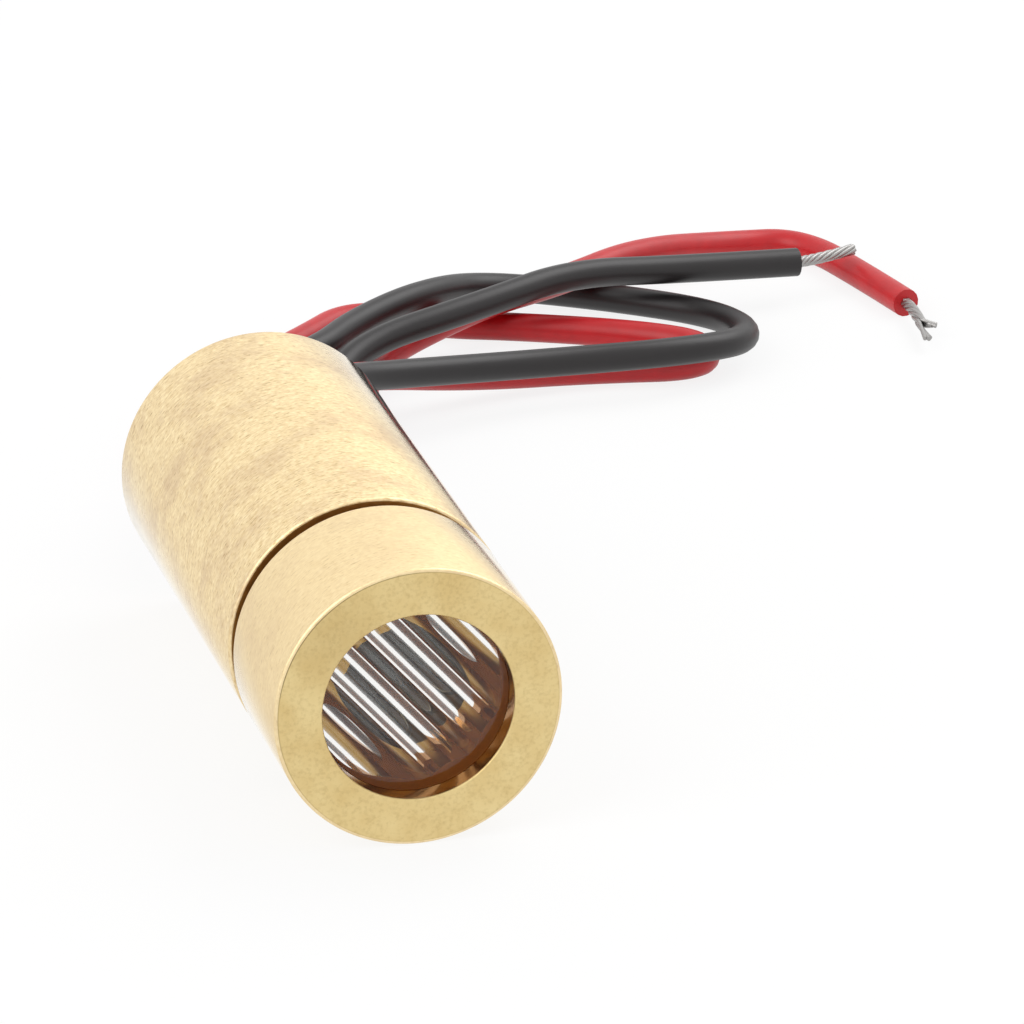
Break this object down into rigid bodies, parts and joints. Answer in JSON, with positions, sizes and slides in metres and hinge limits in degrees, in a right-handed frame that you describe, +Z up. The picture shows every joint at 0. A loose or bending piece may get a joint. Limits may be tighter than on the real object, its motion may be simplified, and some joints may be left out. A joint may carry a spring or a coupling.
{
  "type": "laser diode module",
  "caption": "Line-laser module: plain brass barrel with a ribbed line lens in its front cap, a diode and driver inside, and flying red and black leads from the sealed rear.",
  "frame": {"origin": "on the floor, below the middle of the barrel's length and of its width", "axes": "+Y along the barrel from the lens to the leads, +Z up, +X to the right seen from the lens end"},
  "size_m": [0.0329, 0.0475, 0.009],
  "materials": {
    "brass": "satin",
    "acrylic": "gloss",
    "optical_glass": "gloss",
    "black_rubber": "matte",
    "gold_plate": "polished",
    "seal_glass": "gloss",
    "nickel_plate": "satin",
    "copper_post": "satin",
    "semiconductor": "gloss",
    "board_laminate": "satin",
    "mould_compound": "matte",
    "chip_resistor": "satin",
    "chip_capacitor": "satin",
    "solder": "satin",
    "tinned_copper": "satin",
    "red_pvc": "satin",
    "black_pvc": "satin",
    "epoxy": "gloss"
  },
  "bodies": {
    "root": {"barrel": "brass", "lens_cap": "brass", "lens_ring": "brass", "line_lens": "acrylic", "collimating_lens": "optical_glass", "diode_window": "optical_glass", "preload_ring": "black_rubber", "diode_stem": "gold_plate", "pin_anode": "gold_plate", "pin_cathode": "gold_plate", "pin_common": "gold_plate", "glass_anode": "seal_glass", "glass_cathode": "seal_glass", "diode_cap": "nickel_plate", "diode_post": "copper_post", "laser_chip": "semiconductor", "monitor_chip": "semiconductor", "driver_board": "board_laminate", "transistor_a": "mould_compound", "transistor_b": "mould_compound", "resistor_a": "chip_resistor", "resistor_b": "chip_resistor", "capacitor": "chip_capacitor", "solder_anode": "solder", "solder_cathode": "solder", "solder_common": "solder", "solder_red": "solder", "solder_black": "solder", "red_core": "tinned_copper", "black_core": "tinned_copper", "black_lead_tip": "tinned_copper", "red_lead_tip": "tinned_copper", "red_lead": "red_pvc", "red_lead_root": "red_pvc", "black_lead": "black_pvc", "black_lead_root": "black_pvc", "rear_seal": "epoxy"}
  },
  "joints": []
}
